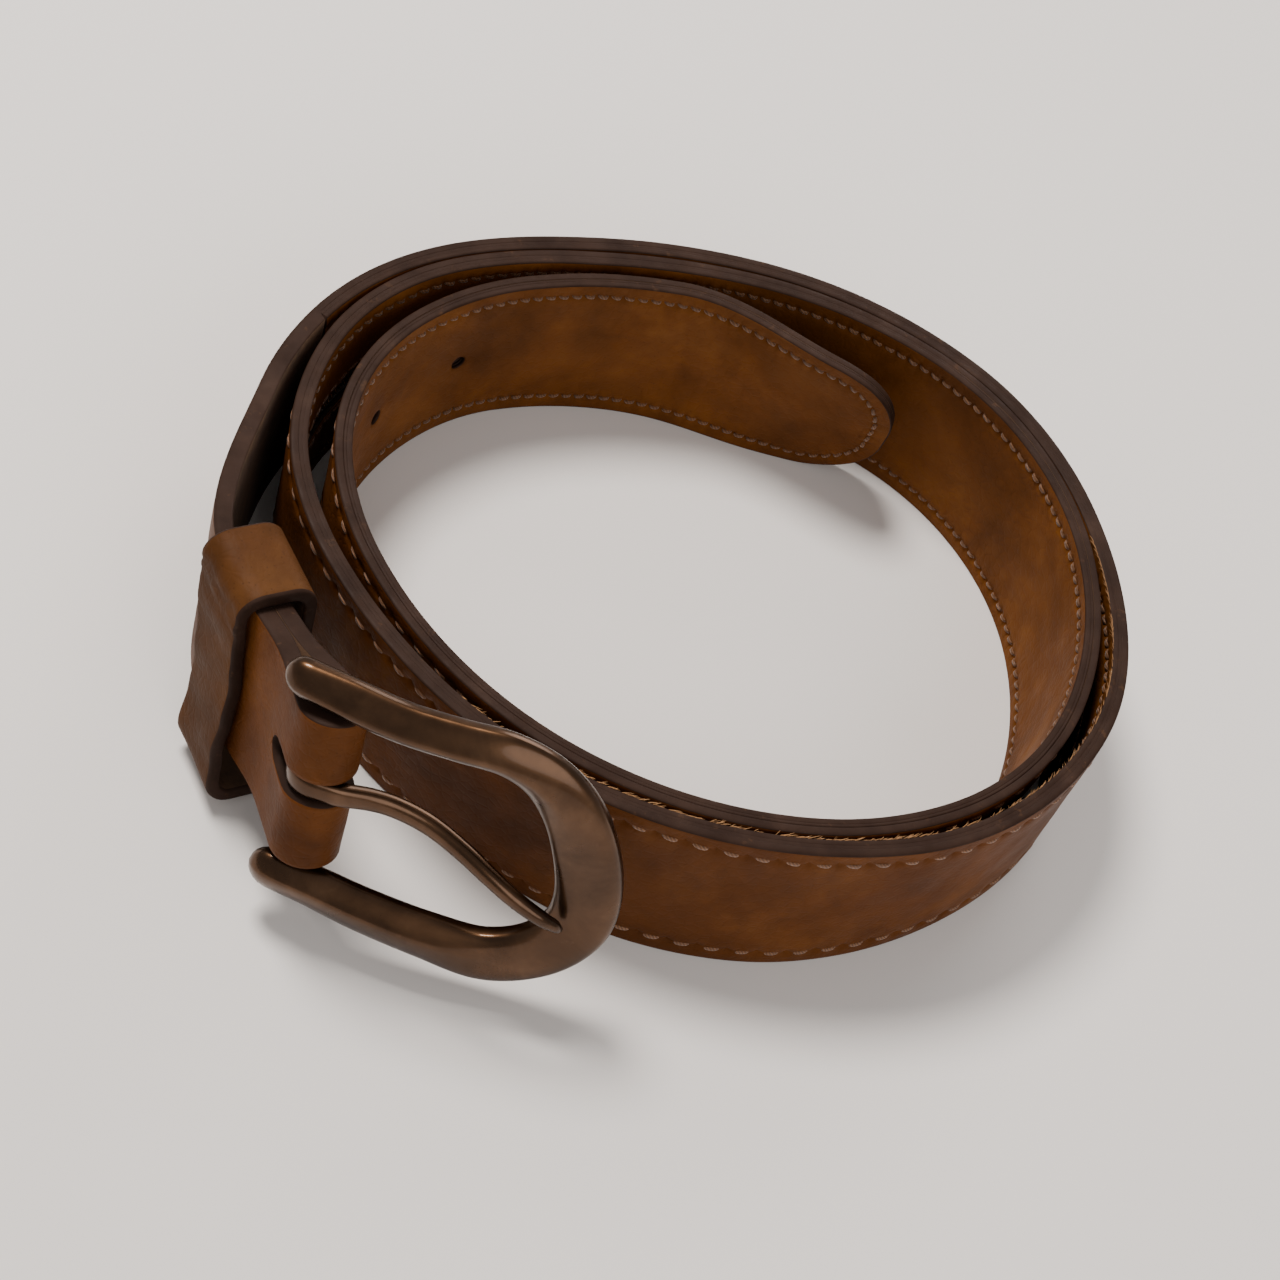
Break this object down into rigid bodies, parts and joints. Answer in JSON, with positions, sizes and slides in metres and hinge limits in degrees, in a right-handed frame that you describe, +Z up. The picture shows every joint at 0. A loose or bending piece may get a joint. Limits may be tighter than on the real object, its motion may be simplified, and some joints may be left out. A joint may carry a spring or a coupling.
{
  "type": "money belt",
  "caption": "Leather money belt coiled on edge, with a horseshoe prong buckle, a loose keeper and a zipped pocket hidden in its lining.",
  "frame": {"origin": "centre of the bounding box at the level surface that the strap's lower edge stands on", "axes": "+Z up, along the coil's axis; +X to the right seen from the front and -Y towards the front, where the buckle hangs"},
  "size_m": [0.1305, 0.1303, 0.049],
  "materials": {
    "leather": "satin",
    "filler": "matte",
    "thread": "satin",
    "zip_tape": "matte",
    "zip_coil": "satin",
    "antique_bronze": "aged satin",
    "zip_metal": "aged satin",
    "staple_steel": "satin"
  },
  "bodies": {
    "strap": {"outer_leather": "leather", "strap_lining": "leather", "filler_tip": "filler", "filler_upper_edge": "filler", "filler_lower_edge": "filler", "filler_buckle_end": "filler", "seam_face_lower": "thread", "seam_face_upper": "thread", "seam_lining_lower": "thread", "seam_lining_upper": "thread", "turnback_seam": "thread", "zip_thread_upper": "thread", "zip_thread_lower": "thread", "zip_tape_upper": "zip_tape", "zip_tape_lower": "zip_tape", "zip_coil_upper": "zip_coil", "zip_coil_lower": "zip_coil", "zip_top_stop": "zip_metal", "zip_bottom_stop": "zip_metal"},
    "frame": {"buckle_frame": "antique_bronze"},
    "prong": {"buckle_prong": "antique_bronze"},
    "keeper_loop": {"keeper": "leather", "keeper_staple": "staple_steel"},
    "slider": {"zip_slider": "zip_metal"},
    "pull": {"zip_pull": "zip_metal"}
  },
  "joints": [
    {"name": "frame_swing", "type": "hinge", "parent": "strap", "child": "frame", "pos_m": [-0.0323, -0.05595, 0.02648], "axis": [-0.1141, 0.2329, 0.9658], "range_deg": [-80, 2]},
    {"name": "prong_swing", "type": "hinge", "parent": "frame", "child": "prong", "pos_m": [-0.0323, -0.05595, 0.02648], "axis": [-0.1141, 0.2329, 0.9658], "range_deg": [-70, 0]},
    {"name": "keeper_slide", "type": "slide", "parent": "strap", "child": "keeper_loop", "axis": [0.744, -0.6243, 0.2384], "range_m": [-0.001, 0.003]},
    {"name": "slider_travel", "type": "hinge", "parent": "strap", "child": "slider", "pos_m": [0.00932, -0.00561, 0.015], "axis": [0, 0, 1], "range_deg": [-3, 9]},
    {"name": "pull_swing", "type": "hinge", "parent": "slider", "child": "pull", "pos_m": [0.0035, 0.05777, 0.015], "axis": [0, 0, 1], "range_deg": [0, 4]}
  ]
}
